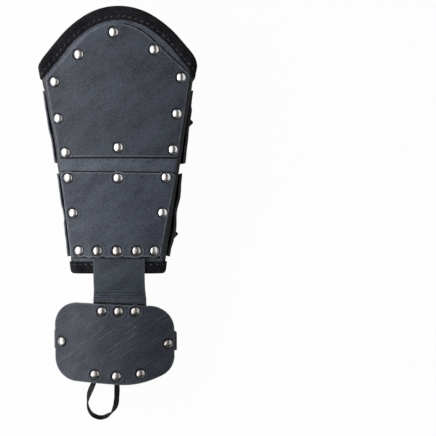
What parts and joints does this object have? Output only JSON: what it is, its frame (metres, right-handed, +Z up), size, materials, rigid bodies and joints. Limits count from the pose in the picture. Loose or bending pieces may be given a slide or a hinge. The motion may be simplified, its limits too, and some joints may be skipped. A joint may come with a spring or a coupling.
{
  "type": "leather bracer",
  "caption": "Forearm bracer of riveted grey leather plates with black suede bindings, back straps and buckles, a hand plate on a strap, a palm strap and a finger loop.",
  "frame": {"origin": "middle of the bracer's box in plan, on the surface that it lies on", "axes": "+X to the right seen from above with the elbow end away, +Y along the arm towards the elbow, +Z up, out of the plated front"},
  "size_m": [0.1446, 0.3828, 0.0896],
  "materials": {
    "slate_leather": "satin",
    "soft_leather": "matte",
    "black_leather": "matte",
    "black_suede": "napped",
    "nickel": "polished"
  },
  "bodies": {
    "root": {"body": "slate_leather", "upper_plate": "slate_leather", "lower_plate": "slate_leather", "side_plate_upper_left": "slate_leather", "side_plate_upper_right": "slate_leather", "side_plate_lower_left": "slate_leather", "side_plate_lower_right": "slate_leather", "hand_plate": "slate_leather", "hand_strap": "soft_leather", "palm_strap": "soft_leather", "closure_strap_upper": "black_leather", "closure_strap_lower": "black_leather", "buckle_tab_upper": "black_leather", "buckle_tab_lower": "black_leather", "finger_loop": "black_leather", "top_binding": "black_suede", "bottom_binding": "black_suede", "buckle_upper": "nickel", "buckle_lower": "nickel", "upper_rivet_1": "nickel", "upper_rivet_2": "nickel", "upper_rivet_3": "nickel", "upper_rivet_4": "nickel", "upper_rivet_5": "nickel", "upper_rivet_6": "nickel", "upper_rivet_7": "nickel", "upper_rivet_8": "nickel", "upper_rivet_9": "nickel", "upper_rivet_10": "nickel", "lower_rivet_1": "nickel", "lower_rivet_2": "nickel", "lower_rivet_3": "nickel", "lower_rivet_4": "nickel", "lower_rivet_5": "nickel", "lower_rivet_6": "nickel", "lower_rivet_7": "nickel", "lower_rivet_8": "nickel", "lower_rivet_9": "nickel", "lower_rivet_10": "nickel", "hand_rivet_1": "nickel", "hand_rivet_2": "nickel", "hand_rivet_3": "nickel", "hand_rivet_4": "nickel", "hand_rivet_5": "nickel", "hand_rivet_6": "nickel", "hand_rivet_7": "nickel", "hand_rivet_8": "nickel", "side_rivet_upper_left_1": "nickel", "side_rivet_upper_left_2": "nickel", "side_rivet_upper_right_1": "nickel", "side_rivet_upper_right_2": "nickel", "side_rivet_lower_left_1": "nickel", "side_rivet_lower_left_2": "nickel", "side_rivet_lower_right_1": "nickel", "side_rivet_lower_right_2": "nickel"}
  },
  "joints": []
}
